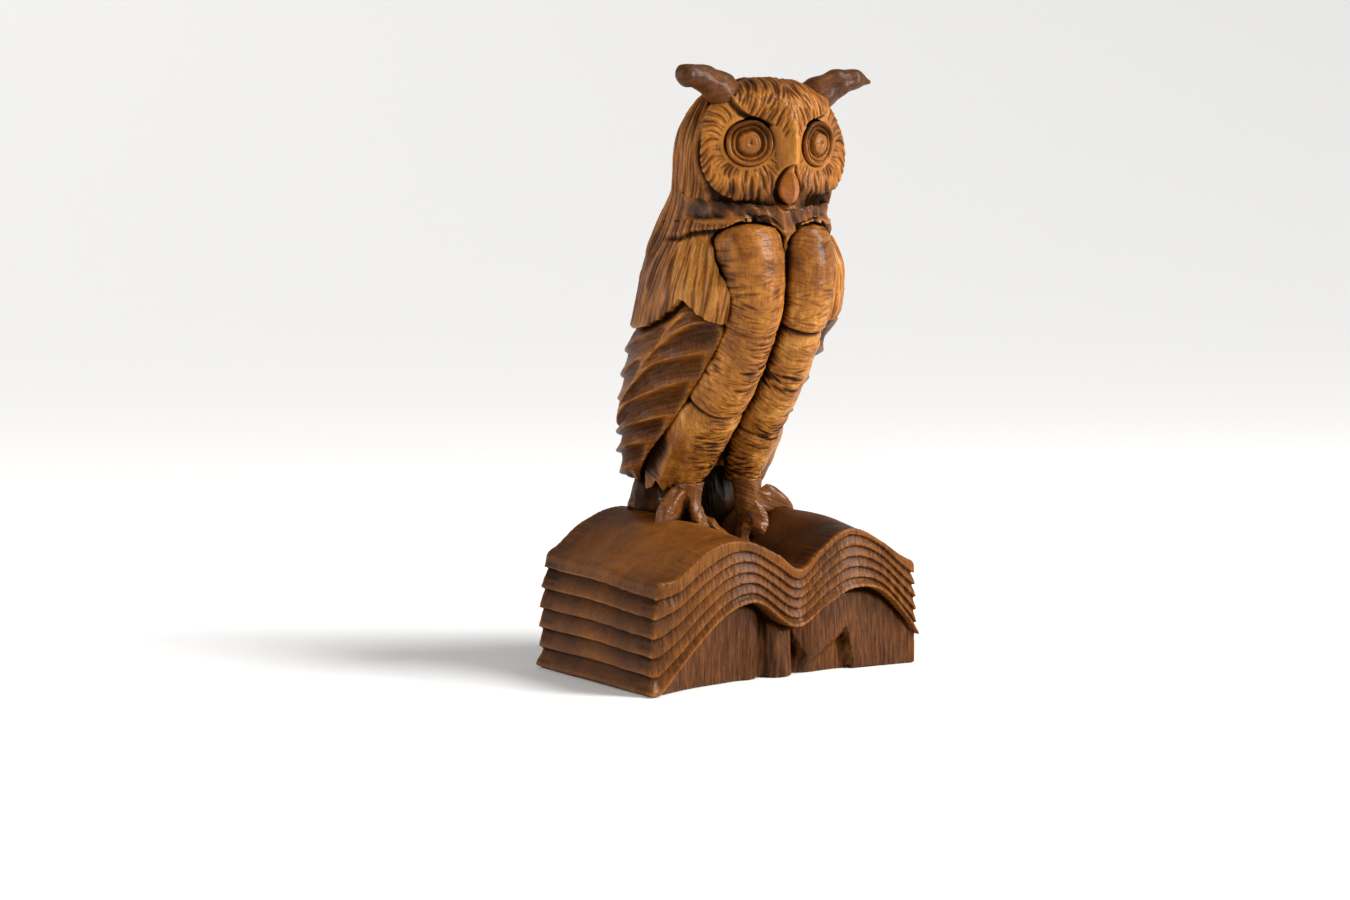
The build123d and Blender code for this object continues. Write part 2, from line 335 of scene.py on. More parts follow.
wing_form = stack([
    (53.5, -19.6, 23, 1.5, 1.5, 1.5),
    (57, -19.4, 21.2, 4.6, 4.2, 5.4),
    (62, -19.2, 18, 7, 6.5, 8.5),
    (72, -18.8, 12, 9.3, 9.5, 14),
    (82, -18.4, 7, 10.5, 12.5, 18.5),
    (92, -18.2, 1.5, 11.3, 15.5, 21.3),
    (101, -18, -2.8, 12, 18, 22),
    (110, -18, -5, 12.1, 20, 21.6),
    (118, -17.8, -6.5, 11.4, 19.5, 20.8),
    (126, -16.4, -7.2, 9.6, 16.4, 21.6),
    (130, -15.3, -8, 9, 14, 21.6),
    (135, -14, -9, 8, 11.5, 20.2),
    (140, -13, -10.5, 6, 9, 16),
    (143, -12.5, -11, 2, 4, 6),
])

tail_form = stack([
    (36, 0, 23.5, 21.5, 6.5, 6.6),
    (47, 0, 23.5, 21, 6.5, 7),
    (56, 0, 23, 19.5, 7, 7.4),
    (66, 0, 21.5, 17, 8, 8),
    (84, 0, 18, 12, 7, 7),
])


def outward(x):
    """Sideways distance from the middle of the owl."""
    return np.abs(x - OWL_X)


def torso_field(x, y, z):
    """Figure and wings in one, before the pieces part along their seams."""
    hx, hy = head_frame(x, y, z)
    return smooth_min(figure(hx, hy, z), wing_form(-outward(x), y, z), 3)


def fuller(z):
    """How much further out the left breast column swells near its top than the right one."""
    return 2.2 * step(z, 104, 117)


def columns_field(x, y, z):
    """Both breast and leg columns, with the thighs behind them."""
    s = -outward(x)
    s = s + fuller(z) * step(-s, 3, 13) * (x < OWL_X)
    d = smooth_min(column_form(s, y, z), thigh_form(s, y, z) + 0.2, 1)
    return smooth_max(d, s + 0.1, 1.6)


BEAK_FOOT, BEAK_TOP = EYE_Z - 17.4, EYE_Z - 6.8
# half-width of the brow and nose shield at each height
shield_width = curve([139, 143, 147.5, 152, 155, 157, 158.5, 159.6, 161.2, 163.5, 167, 173],
                     [1.8, 2.2, 2.8, 3.6, 4.4, 6.2, 9.2, 12, 14.4, 16.2, 17, 18])
# the cut under the right cheek, as in the turned head: sideways, forwards, height
UNDER_CHEEK = smooth_path([(3.4, -29.5, 137.2), (6.5, -28.5, 135.6), (11, -26.4, 134.8),
                           (15.5, -23.6, 135.4), (19.5, -20.8, 137.4)])
CHEEK_LIFT = 0.9  # raises that cut on the right and lowers it on the left
FACE_RIM = (25.2, 17.5)  # half-width and half-height of the rim round the face
RIM_Y, RIM_Z = -18.5, 149.0
DISH_RADIUS = 40.0  # of the ball that hollows each facial disc
DISH_DEPTH = 1.3


def under_cheek(hx, hy, z):
    """Distance to the cut under the cheeks."""
    return distance_to_path(np.abs(hx), hy, z - CHEEK_LIFT * np.sign(hx), UNDER_CHEEK)


def face_field(x, y, z):
    """The head above the neck: dome, two dished facial discs, brow shield and nose ridge."""
    hx, hy = head_frame(x, y, z)
    out = np.abs(hx)
    rim = (np.hypot(out / FACE_RIM[0], (z - RIM_Z) / FACE_RIM[1]) - 1) * 18
    d = smooth_min(figure(hx, hy, z), smooth_max(rim, np.abs(hy - RIM_Y) - 4.5, 2), 2)
    plane = math.sin(EYE_SPLAY) * out - math.cos(EYE_SPLAY) * (hy - FACE_Y)
    d = smooth_max(d, plane, 1.6)
    reach = DISH_RADIUS - DISH_DEPTH
    cx, cy = EYE_OUT + reach * math.sin(EYE_SPLAY), EYE_Y - reach * math.cos(EYE_SPLAY)
    away = np.sqrt((out - cx) ** 2 + (hy - cy) ** 2 + (z - EYE_Z + 1.5) ** 2)
    d = smooth_max(d, DISH_RADIUS - away, 1.2)
    front = step(-hy, 14, 20)
    soft = blend(1.5, 0.5, step(z, 154.5, 158))
    shield = step(shield_width(z) - out, -soft, soft) * step(z, BEAK_TOP - 3, BEAK_TOP + 1)
    shield = shield * (1 - step(z, 162, 169))
    ridge = np.exp(-(hx / 1.5) ** 2) * step(z, BEAK_TOP - 2, BEAK_TOP + 1)
    ridge = ridge * (1 - step(z, 154, 162))
    d = d - (1.3 * shield + ridge) * front
    hollow = 2.7 - 1.5 * step(out, 9, 19) - under_cheek(hx, hy, z)
    return smooth_max(d, hollow, 1.6)


def eye_axes(x, y, z, side):
    """Place in one eye's own frame: sideways, upwards and outwards from the face."""
    hx, hy = head_frame(x, y, z)
    dx, dy = hx * side - EYE_OUT, hy - EYE_Y
    c, s = math.cos(EYE_SPLAY), math.sin(EYE_SPLAY)
    return c * dx + s * dy, z - EYE_Z + 0.3, s * dx - c * dy


EYE_STRETCH = 1.1  # an eye is wider than high
EYE_RADIUS = 7.0
SOCKET_RADIUS, SOCKET_DEPTH = 7.15, 6.5


def eye_field(side, x, y, z):
    """A turned-looking eye: outer rim, two grooves, an iris ring and a domed pupil with a prick."""
    profile = curve([0, 0.35, 0.8, 2.2, 3.2, 3.65, 4.1, 4.5, 5, 5.45, 5.8, 6.3, 6.9, 7.2],
                    [0.35, 0.6, 0.95, 0.95, 0.45, -0.9, -0.9, -0.1, 0.05, -0.55, 0.1, 0.45, 0, -1], 600)
    u, v, w = eye_axes(x, y, z, side)
    hand = 0.25 * waves(np.arctan2(v, u) * 1.6, w * 0 + side, 33)
    r = np.sqrt((u - 0.12 * side) ** 2 + (v * EYE_STRETCH) ** 2) + hand
    body = smooth_max(r - EYE_RADIUS, np.abs(w + 3.2) - 4.6, 0.3)
    return smooth_max(body, (w + 0.1 - profile(r)) * 0.8, 0.2)


EAR_TOP = 174.1


def ear_field(side, x, y, z):
    """A tuft that lies out level from the brow: blunt on the left, pointed on the right."""
    route = [(7, -15, 158), (12, -17.5, 162.5)]
    if side < 0:
        route += [(17, -19, 167.4), (23.5, -20.3, 170.6), (29, -21, 171.2), (EAR_TIP - 5.8, -21.5, 170.6)]
        radii = [5.5, 6.0, 5.0, 3.7, 3.1, 2.8]
    else:
        route += [(16.5, -19, 166.8), (22, -20.3, 170), (27.5, -21, 171), (EAR_TIP - 2.6, -21.5, 170.4)]
        radii = [5.5, 6.0, 5.0, 3.6, 2.9, 0.9]
    hx, hy = head_frame(x, y, z)
    d = limb(hx * side, hy, z, route, radii, 2)
    flat = np.abs(hy + 19.5 + 0.22 * (hx * side - 18) - 0.3 * (z - 170)) - 3.9
    d = smooth_max(d, z - EAR_TOP, 0.6)
    return smooth_max(d, flat, 1.6) - 0.3 * facets(hx / 6, (z + hy) / 4, 80)


def beak_swell(z):
    """0 at both ends of the beak, 1 where it is thickest."""
    t = np.clip((z - BEAK_FOOT) / (BEAK_TOP - BEAK_FOOT), 0, 1)
    return np.sin(math.pi * t ** 0.8)


def beak_half_width(z):
    return 3.15 * beak_swell(z) ** 0.8


def beak_field(x, y, z):
    """An almond with a sharp ridge down its front."""
    hx, hy = head_frame(x, y, z)
    front = FACE_Y + 1.3 - 2.6 * beak_swell(z) ** 0.7 + 0.75 * np.abs(hx)
    d = np.maximum(np.abs(hx) - beak_half_width(z), (front - hy) * 0.8)
    d = smooth_max(d, hy - (FACE_Y + 7), 0.5)
    return np.maximum(d, np.maximum(BEAK_FOOT - z, z - BEAK_TOP))


# ---- the book's forms

top_front = curve([-48, -43, -38.5, -29, -15, -3, GUTTER_X, 12, 22.5, 35, 42, 45.5, 50],
                  [31.5, 31.8, 32.4, 38, 41, 35.5, 31.2, 36.5, 42.5, 38, 33, 31, 30])
top_back = curve([-48, -42.5, -33, -18, -3, GUTTER_X, 12, 24, 36, 42.5, 46, 50],
                 [34, 35.2, 42, 45.8, 39.5, 34, 40.5, 45.8, 42, 38.5, 35.4, 34])
cover_under = curve([-50, -44.5, -41, -31, -20, -12, GUTTER_X - 0.5, 14, 24, 36, 44, 52],
                    [-3, 0.2, 3.5, 13.3, 21.5, 23.4, 15, 20.2, 24.3, 22, 14.5, 4])
PAGE_BANDS = 6  # the last band is the cover
COVER_SHARE = 1 - 1 / PAGE_BANDS
SHARE_MM = 16  # turns a share of the pages' height into a distance, roughly


def past_faces(y):
    """How far a place lies beyond the front or back face of the book."""
    return np.maximum(BOOK_FRONT - y, y - BOOK_BACK)


def past_ends(x):
    """How far a place lies beyond the left or right end of the book."""
    return np.maximum(LEFT_END - x, x - RIGHT_END)


def arches(x, y):
    """Height of the open pages without the knife's flats."""
    share = (y - BOOK_FRONT) / (BOOK_BACK - BOOK_FRONT)
    return blend(top_front(x), top_back(x), share)


def underside(x):
    """Height of the cover's underside."""
    return np.maximum(cover_under(x), 0.2)


def page_flats(x, y):
    """The knife's broad flats on the pages, from -1 to 1."""
    return facets((x + 0.45 * y + 3) / 12.5, (y - 0.25 * x) / 19, 5)


def page_top(x, y):
    """Height of the open pages, with the knife's flats on them."""
    return arches(x, y) + 1.1 * page_flats(x, y)


def page_share(x, y, z):
    """0 on the top of the pages, 1 on the underside of the cover."""
    top = arches(x, y) + 0.6
    return (top - z) / np.maximum(top - underside(x), 1.0)


def book_shell(x, y, z):
    """The whole book block before it is cut into layers."""
    top = (z - page_top(x, y)) * 0.85
    left = LEFT_END + 0.0045 * np.maximum(z - 12, 0) ** 2.1 - x
    right = x - (RIGHT_END - 0.004 * np.maximum(z - 12, 0) ** 2)
    d = smooth_max(top, left, 1.5)
    d = smooth_max(d, right, 1.5)
    d = smooth_max(d, past_faces(y), 0.6)
    return np.maximum(d, -z)


def page_cuts(x, y, z):
    """Depth of the cuts that part the bundles of pages: each bundle flares out to a lip at its foot."""
    t = page_share(x, y, z) * PAGE_BANDS + 0.22 * waves(x / 15, y / 23, 3)
    near_face = step(past_faces(y), -2.5, -1.2)
    near_end = step(past_ends(x) + 0.16 * np.maximum(z - 20, 0), -5, -2)
    depth = blend(1.2, 0.85, near_face) * step(t, 0.4, 1)
    part = t - np.floor(t)
    flare = step(part, 0, 0.10) * (1 - part) ** 1.3
    return depth * flare * 1.25 * np.maximum(near_face, near_end)


def book_block(x, y, z):
    return book_shell(x, y, z) + page_cuts(x, y, z)


def pages_field(side, x, y, z):
    d = np.maximum(book_block(x, y, z), (page_share(x, y, z) - COVER_SHARE) * SHARE_MM - SEAM)
    return np.maximum(d, side * (GUTTER_X - x) - SEAM)


def cover_field(x, y, z):
    """The cover board: the lowest, thickest band, its edge standing a little proud."""
    t = page_share(x, y, z)
    proud = step(t, COVER_SHARE + 0.03, 0.99)
    d = np.maximum(book_block(x, y, z) - proud, (COVER_SHARE - t) * SHARE_MM - SEAM)
    return np.maximum(smooth_max(d, (t - 1) * SHARE_MM, 1.2), -z)


# how far the support is set back behind the front face
support_front = curve([-50, -45, -31, -14, -6, -4.4, -3.2, -1.5, 1.5, 4.5, 7, 10.5, 19, 29, 46, 50],
                      [0.4, 0.8, 4.2, 5.6, 6.2, 7.6, 7.8, 5.4, 4.2, 4.8, 6.2, 4.2, 3.8, 3.8, 1.2, 0.6])
# tops of the slanting undercuts, as (place, height)
NOTCH_KNOTS = [(-60, 0.0), (5.5, 0.0), (6.3, 13.5), (10.8, 4.2), (24.9, 12.6), (27.6, 0.3), (60, 0.0)]


def support_field(x, y, z):
    """The wedge under the cover: set back, with the spine down its middle and slanting undercuts."""
    under = underside(x)
    d = np.maximum(book_shell(x, y, z), (z - under) * 0.85 - SEAM)
    notch = np.interp(x, *zip(*NOTCH_KNOTS))
    inset = support_front(x) + 0.9 * facets((x - 4) / 15, z / 17, 9) + 0.5
    inset = inset + 3.2 * step(notch - z, -0.3, 0.3) * np.clip((notch - z) / 3, 0.35, 1)
    inset = inset + 1.2 * step(z, under - 2.5, under)
    inset = blend(inset, np.minimum(inset, 1), step(past_ends(x), -3, 0))
    return smooth_max(d, past_faces(y) + inset, 0.4)


# ---- the pieces' fields

BODY_FOOT = 58.0
TAIL_TOP = 76.0
ANKLE_TOP = 54.5
HEM_Z = 51.5  # lowest points of the pointed lower edge of the leg feathers
HEM_PITCH = 6.0


def side_frame(x, side):
    """Sideways place as if the piece were on the left: negative outwards."""
    return -side * (x - OWL_X)


def beside_columns(d, columns):
    """A piece's field, cut away where the leg columns lie in front of it."""
    return smooth_max(d, -columns - LET_IN, 0.8)


def leg_field(side, x, y, z):
    s = side_frame(x, side)
    d = smooth_max(columns_field(x, y, z), s + 0.1, 1.6)
    clear = step(np.hypot(s + ANKLE_OUT, y - DOWEL_Y), 4.5, 7.5)
    count = (s - 0.8 * y) / HEM_PITCH + 0.5 * waves(y / 3, 0 * z, 17)
    hem = HEM_Z + 3.6 * clear * np.abs(2 * (count - np.floor(count)) - 1)
    return smooth_max(d, 0.7 * (hem - z), 0.5)


covert_edge = curve([-32, -23, -19.4, -15.2, -10, -4.9, 3, 10, 20, 30],
                    [101, 100.4, 103.6, 108.6, 105, 102.4, 100.4, 99.8, 103, 100])
ROW_FALL = 0.33  # a feather row falls this much for each step backwards
ROW_PITCH = 6.5
LAYER_TOP = 96.0  # height where the two layers of feathers meet at LAYER_Y
LAYER_Y = -4.8
LAYER_FALL = 1.17


def covert_field(side, x, y, z):
    s = side_frame(x, side)
    above = z - covert_edge(y)
    sunk = 3.6 * step(z, 110, 121) * (1 - step(z, 125.5, 129)) * step(-y, 8, 20)
    proud = 0.6 * step(12 - above, 0, 12) * step(outward(x), 13, 18)
    d = torso_field(x, y, z) + sunk * (side < 0) - proud
    d = smooth_max(d, -above * 0.85, 0.5)
    d = np.maximum(d, z - SHOULDER_Z - SEAM)
    d = np.maximum(d, s + BLANK_SEAM - SEAM)
    return beside_columns(d, columns_field(x, y, z))


def feather_cuts(y, z, clear):
    """Depth of the leaf-shaped hollows of the flight feathers, in a front and a back layer.

    clear is the distance from the leg column, where the front hollows run out.
    """
    behind = y - (LAYER_Y + LAYER_FALL * (LAYER_TOP - z))
    row = (z + ROW_FALL * (y + 5) + 1.3 * waves(y / 19, z / 15, 21)) / ROW_PITCH
    row = row + 0.45 * (behind > 0)
    end = np.minimum(np.clip(np.abs(behind) / 5.5, 0, 1), np.clip((clear - 0.8) / 3.0, 0, 1))
    leaf = np.sqrt(end * (2 - end))
    part = np.minimum((row - np.floor(row)) / np.maximum(leaf, 0.1), 1)
    sharp = step(1 - part, 0, 0.16) * part ** 0.75
    return blend(2.4, 1.7, behind > 0) * leaf * (0.6 * sharp + 0.4 * flute(part))


def flight_field(side, x, y, z):
    s = side_frame(x, side)
    columns = columns_field(x, y, z)
    tuck = 1.5 * step(z, covert_edge(y) - 5, covert_edge(y))
    d = wing_form(s, y, z) + feather_cuts(y, z, columns) - 0.4 + tuck
    d = np.maximum(d, z - covert_edge(y) - 3.0)
    d = np.maximum(d, s + BLANK_SEAM - SEAM)
    return beside_columns(d, columns)


def body_field(x, y, z):
    """Core of the figure, slightly smaller where it runs on under the head and the side blanks."""
    under = np.maximum(above_neck(y, z), np.minimum(outward(x) - BLANK_SEAM, SHOULDER_Z - z))
    d = torso_field(x, y, z) + 0.25 * step(under, 0, 0.15)
    d = np.maximum(d, above_neck(y, z) - SEAM)
    side_cut = np.minimum(outward(x) - BLANK_SEAM - SEAM, SHOULDER_Z - SEAM - z)
    d = beside_columns(np.maximum(d, side_cut), columns_field(x, y, z))
    return np.maximum(d, BODY_FOOT - z)


def head_field(x, y, z):
    d = np.maximum(face_field(x, y, z), -above_neck(y, z) - SEAM)
    for side in (-1, 1):
        u, v, w = eye_axes(x, y, z, side)
        r = np.hypot(u, v * EYE_STRETCH)
        d = smooth_max(d, -np.maximum(r - SOCKET_RADIUS, np.abs(w) - SOCKET_DEPTH), 0.7)
    return d


# each toe's tip outwards and forwards of the ankle, and its height above the page at the ankle
TOES = {-1: [(12.8, -3.4, 11.5), (0.8, -9.4, 11.5), (-6.8, -13.6, 7.0)],
        1: [(16.4, -1.8, 8.5), (1.2, -8.8, 9.5), (-7.5, -7.0, 6.0)]}
toe_profile = curve([0.0, 0.3, 0.5, 0.75, 1.0], [1.05, 1.0, 0.82, 0.54, 0.3])
toe_half_width = curve([0.0, 0.3, 0.7, 1.0], [2.4, 2.2, 2.6, 2.0])


def toe(s, y, height, tip):
    """Field of one toe, which leans from the ankle down to its blunt tip on the page."""
    forward, sideways = y - DOWEL_Y - 1.0, s - ANKLE_OUT
    length = math.hypot(tip[0], tip[1])
    along = (sideways * tip[0] + forward * tip[1]) / length
    across = np.abs(sideways * tip[1] - forward * tip[0]) / length
    share = np.clip(along / length, 0, 1)
    upper = height - tip[2] * toe_profile(share)
    d = smooth_max(across - toe_half_width(share), 0.75 * upper + 0.5 * across, 0.7)
    return smooth_max(d, np.maximum(along - length + 0.3 * height, -along), 1)


def foot_field(side, x, y, z):
    s = side * (x - OWL_X)
    ankle = [(ANKLE_OUT, DOWEL_Y + 0.8, 56.0), (ANKLE_OUT, DOWEL_Y + 0.5, 45.0)]
    d = limb(s, y, z, ankle, [4.9, 3.5])
    height = z - page_top(x, y)
    for tip in TOES[side]:
        d = smooth_min(d, toe(s, y, height, tip), 0.5)
    d = d - 0.55 * facets((s + y) / 4.4, (z + 0.6 * s) / 3.8, 31)
    d = smooth_max(d, z - ANKLE_TOP, 0.5)
    return smooth_max(d, -book_shell(x, y, z) - SUNK, 0.3)


def tail_field(x, y, z):
    s = x - OWL_X
    d = tail_form(s, y, z) + 0.7 * scoops(np.arctan2(s, 12 - y) * 4, z / 14, 93)
    d = np.maximum(d, z - TAIL_TOP)
    return np.maximum(d, -book_shell(x, y, z) - SUNK)


# ---- fine carving
# Each function gives two numbers at points on a piece's surface: how deep the knife cut there,
# in millimetres, and how dark it is painted, from 0 to 1: stain left in the cuts, and in places painted
# shade.

def column_place(x, y, z, side):
    """Height along a leg column and distance round it."""
    s = side_frame(x, side)
    cx, cy = column_form.centre_x(z), column_form.centre_y(z)
    rise = (column_form.centre_y(z + 2) - column_form.centre_y(z - 2)) / 4
    height = z + rise * (y - cy)
    return height, np.arctan2(s - cx, cy - y) * 8.5


def ledge(height, at, depth, run):
    """A step cut: deep just under the edge, running out below it, with painted shade under the edge."""
    below = at - height
    cut = depth * step(below, -0.25, 0.35) * np.clip(1 - below / run, 0, 1) ** 1.4
    return cut, bump(below, 0.4, 1.1)


def on_thigh(x, z):
    """1 on the outer part of a lower leg, which lies behind the column."""
    return step(outward(x), 14.5, 17.5) * step(90 - z, 0, 8)


def carve_leg(side, x, y, z):
    seed = 100 + 7 * side
    if side < 0:
        ledges = [(80, 0.12, 1.3, 5, 1), (102.5, 0.05, 0.4, 3, 0.35)]
    else:
        ledges = [(103, 0, 1.2, 5, 1), (73, -0.1, 0.8, 5, 0.7)]
    height, round_it = column_place(x, y, z, side)
    wobble = 1.2 * waves(round_it / 9, height / 12, seed)
    fewer = blend(1, 0.4, step(z, 107, 117)) * (1 - 0.75 * on_thigh(x, z))
    patchy = 0.65 + 0.55 * waves(round_it / 6, height / 9, seed + 11)
    coarse = strokes(height + wobble, round_it, 1.35, 8, seed + 1, 0.3) * patchy
    fine = strokes(height + wobble, round_it, 0.75, 5, seed + 2, 0.5)
    depth = fewer * np.maximum(0.55 * coarse, 0.26 * fine)
    dark = fewer * np.maximum(1.1 * step(coarse, 0.25, 0.8), 0.5 * step(fine, 0.4, 0.9))
    roll = (height + wobble + 1.5 * waves(round_it / 14, height / 30, seed + 5)) / 7.5
    depth = depth + 0.35 * np.maximum(flute(roll) - 0.5, 0)
    # the last number of each ledge is how strong the painted shade under its edge is
    for at, slant, deep, run, stain in ledges:
        cut, shade = ledge(height, at + slant * round_it, deep, run)
        depth, dark = depth + cut, np.maximum(dark, shade * stain)
    return depth, dark


def streaks(x, y, z):
    """Long flowing gouge marks down the nape, mantle and coverts."""
    round_it = np.arctan2(x - OWL_X, figure.centre_y(z) - y) * 22.0
    flow = round_it + 2.2 * waves(round_it / 22, z / 26, 50) + 0.9 * waves(round_it / 7, z / 13, 59)
    broad = strokes(flow, z, 2.5, 26, 51, 0.12)
    fine = strokes(flow, z, 1.1, 14, 52, 0.15)
    dark = np.maximum(0.9 * step(broad, 0.25, 0.9), 0.8 * step(fine, 0.3, 0.9))
    return np.maximum(broad, 0.5 * fine), dark


# seen from in front: distance from the middle of the owl, and height
SHOULDER_GROOVE = smooth_path([(14.5, 0, 129.9), (16.4, 0, 128.9), (19.5, 0, 127.6), (22.6, 0, 127),
                               (24.3, 0, 126.8), (26, 0, 126)])


def shoulder_groove(x, y, z):
    """The cut that arches over the breast columns and on round the tops of the coverts."""
    over = bump(columns_field(x, y, z), 0.2, 1.5) * step(z, 123, 125)
    cut = np.maximum(over, groove(outward(x), 0 * y, z, SHOULDER_GROOVE, 1.2)) * step(-y, 1, 6)
    return cut, 0.8 * step(cut, 0.15, 0.8)


def carve_body(x, y, z):
    over_blank = np.maximum(step(z, SHOULDER_Z, SHOULDER_Z + 2), step(BLANK_SEAM - outward(x), 0.3, 2))
    front = step(-y, 6, 13) * step(z, 125, 128) * over_blank
    round_it = np.arctan2(x - OWL_X, -9 - y) * 4.4 + z / 9.0
    collar = 0.3 + 0.3 * facets(round_it, z / 5.5, 41) + 0.6 * scoops(1.3 * round_it, z / 4.6, 43)
    depth, dark = streaks(x, y, z)
    cut, line = shoulder_groove(x, y, z)
    plain = step(-y, 12, 19) * step(z, 125, 128)
    depth, dark = depth * (1 - plain), dark * (1 - plain)
    # painted shade in the band just under the overhanging face
    cheek_shade = 0.42 * bump(above_neck(y, z), 0, 3.5) * front
    dark = np.maximum(blend(dark, 0.12 * collar, front), cheek_shade)
    return blend(depth, 1.6 * collar, front) + cut, np.maximum(dark, line)


def carve_covert(x, y, z):
    depth, dark = streaks(x, y, z)
    fade = step(z, 99, 103)
    cut, line = shoulder_groove(x, y, z)
    return depth * fade + cut, np.maximum(dark * fade, line)


def carve_flight(x, y, z):
    marks = strokes(z + ROW_FALL * y, y, 0.9, 7, 63, 0.2)
    # painted shadow under the covert's edge, and painted shade in the feather hollows
    shadow_under_covert = bump(z - covert_edge(y), -0.5, 3.2)
    hollows = feather_cuts(y, z, columns_field(x, y, z))
    return 0.14 * marks, np.maximum(0.3 * marks + 0.36 * hollows, 0.9 * shadow_under_covert)


RIM_GROOVE = smooth_path([(18.5, -18.5, 167.2), (22, -18.6, 163.5), (24.6, -19.3, 158.5),
                          (25.6, -19.5, 152), (25.3, -19.6, 146), (23.6, -20.2, 141.2),
                          (20.5, -21.2, 137.8), (16.5, -22.8, 135.2)])
BROW_GROOVE = smooth_path([(6.4, 0, 157.2), (8.4, 0, 158.4), (11.4, 0, 159.2), (14.2, 0, 160.6),
                           (16.6, 0, 163.5), (17.4, 0, 167.5)])
HAIR_LEAN = 0.5  # the forehead's hair cuts lean outwards this much


def beak_hollow(hx, z, facing):
    """The dark cut round the beak, from 0 to 1."""
    round_it = np.maximum(1 - np.abs(np.abs(hx) - beak_half_width(z) - 0.7) / 1.2, 0)
    return facing * round_it * step(z, BEAK_FOOT - 1, BEAK_FOOT + 1) * step(BEAK_TOP + 1 - z, 0, 2)


def carve_head(x, y, z):
    hx, hy = head_frame(x, y, z)
    out = np.abs(hx)
    facing = step(-hy, 17, 20)
    inside = shield_width(z) - out
    forehead = facing * step(inside, 0.3, 1.5) * step(z, 152, 156)
    across, along = out + HAIR_LEAN * z, z - HAIR_LEAN * out
    fine_hair = strokes(across, along, 0.7, 5, 72, 0.4)
    hair = np.maximum(strokes(across, along, 1.35, 8, 71, 0.3), 0.55 * fine_hair)
    u, v = out - EYE_OUT, z - EYE_Z
    r, angle = np.sqrt(u * u + v * v), np.arctan2(v, u)
    turn = angle * 9.5 + waves(r / 5, angle, 12)
    rays = np.maximum(strokes(turn, r, 1.35, 6.5, 75, 0.3), 0.55 * strokes(turn, r, 0.7, 4, 77, 0.3))
    disc = facing * step(-inside, 0.5, 1.5) * step(r, 7.2, 8.2)
    fine = hair * forehead + rays * disc
    depth, dark = streaks(x, y, z)
    depth, dark = blend(depth, 0.62 * fine, facing), blend(dark, 0.85 * step(fine, 0.2, 0.8), facing)
    rim = groove(out, hy, z, RIM_GROOVE, 1.7)
    brow = groove(out, 0 * hy, z, BROW_GROOVE, 1.0) * facing
    beside = beak_hollow(hx, z, facing)
    # painted shade under the cheeks
    cheek = bump(under_cheek(hx, hy, z), 0, 6 - 0.12 * out)
    crown = step(z, 164, 168) * scoops(hx / 7, hy / 5, 44)
    depth = depth + 1.8 * rim + 0.9 * brow + 1.4 * beside + 0.5 * crown
    dark = np.maximum(np.maximum(dark, step(rim, 0.1, 0.7)), np.maximum(0.7 * step(brow, 0.2, 0.8), beside))
    patches = 0.55 * step(waves(turn / 4, r / 3.5, 61), 0.1, 0.7) * disc
    patches = patches * step(r, 9, 14) * step(-v, 0, 6)
    return depth + 0.4 * patches, np.maximum(np.maximum(dark, patches), 0.6 * cheek)


def carve_ear(x, y, z):
    hx, hy = head_frame(x, y, z)
    flat = scoops(hx / 8, (z + hy) / 5, 81)
    marks = strokes(z - 0.2 * hx, hx, 0.9, 7, 83, 0.3)
    return 0.3 * flat + 0.03 * marks, 0.25 * marks


def carve_tail(x, y, z):
    s = np.arctan2(x - OWL_X, 12 - y) * 14.0
    broad = strokes(s, z, 3.4, 15, 91, 0.2)
    fine = strokes(s, z, 1, 7, 92, 0.3)
    # painted shade in front, between the legs
    shade_between_legs = 0.9 * step(27 - y, 0, 6) * step(14 - outward(x), 0, 4)
    return 1.5 * broad + 0.3 * fine, np.maximum(0.6 * broad + 0.3 * fine, shade_between_legs)


def carve_beak(x, y, z):
    marks = strokes(z, x * 2, 0.7, 3, 95, 0.2)
    return 0.08 * marks, 0.2 * marks


def carve_foot(x, y, z):
    marks = strokes(z + 0.4 * x, y, 0.9, 4, 97, 0.3)
    return 0.12 * marks, 0.3 * marks


def carve_eye(side, x, y, z):
    u, v, _ = eye_axes(x, y, z, side)
    marks = strokes(x, z, 0.6, 2.2, 98, 0.5)
    # painted shadow of the brow on the upper part of the eye
    brow_shadow = 0.85 * step(v, -1, 3.5) * step(np.hypot(u, v), 3.4, 4.4)
    return 0.06 * marks, np.maximum(0.3 * marks, brow_shadow)


def carve_book(x, y, z):
    """Faint tool marks along the upright grain, and painted shade under each lip of the pages."""
    marks = step(past_faces(y), -9, -6) * strokes(x, z, 0.8, 7, 99, 0.05)
    return 0.15 * marks, 0.4 * marks + 0.65 * page_cuts(x, y, z)


def carve_support(x, y, z):
    """The same upright grain, torn a little deeper."""
    marks = strokes(x, z, 0.8, 9, 101, 0.04)
    return 0.2 * marks, 0.65 * marks


# ---- meshing

def fill_grid(field, low, high, voxel):
    """The field sampled on a grid between two corners."""
    axes = [np.arange(a, b + voxel, voxel) for a, b in zip(low, high)]
    x, y, z = np.meshgrid(*axes, indexing="ij", sparse=True)
    values = field(x, y, z)
    return np.broadcast_to(values, tuple(len(a) for a in axes)).astype(np.float32)


def surface(field, low, high, voxel):
    """Points and quads where the field is zero."""
    values = fill_grid(field, low, high, voxel)
    values[[0, -1], :, :] = voxel
    values[:, [0, -1], :] = voxel
    values[:, :, [0, -1]] = voxel
    grid = openvdb.FloatGrid(background=3.0)
    grid.copyFromArray(np.ascontiguousarray(np.clip(values, -3, 3)))
    points, _, quads = grid.convertToPolygons(isovalue=0.0, adaptivity=0.0)
    return np.asarray(points, float) * voxel + low, np.asarray(quads)


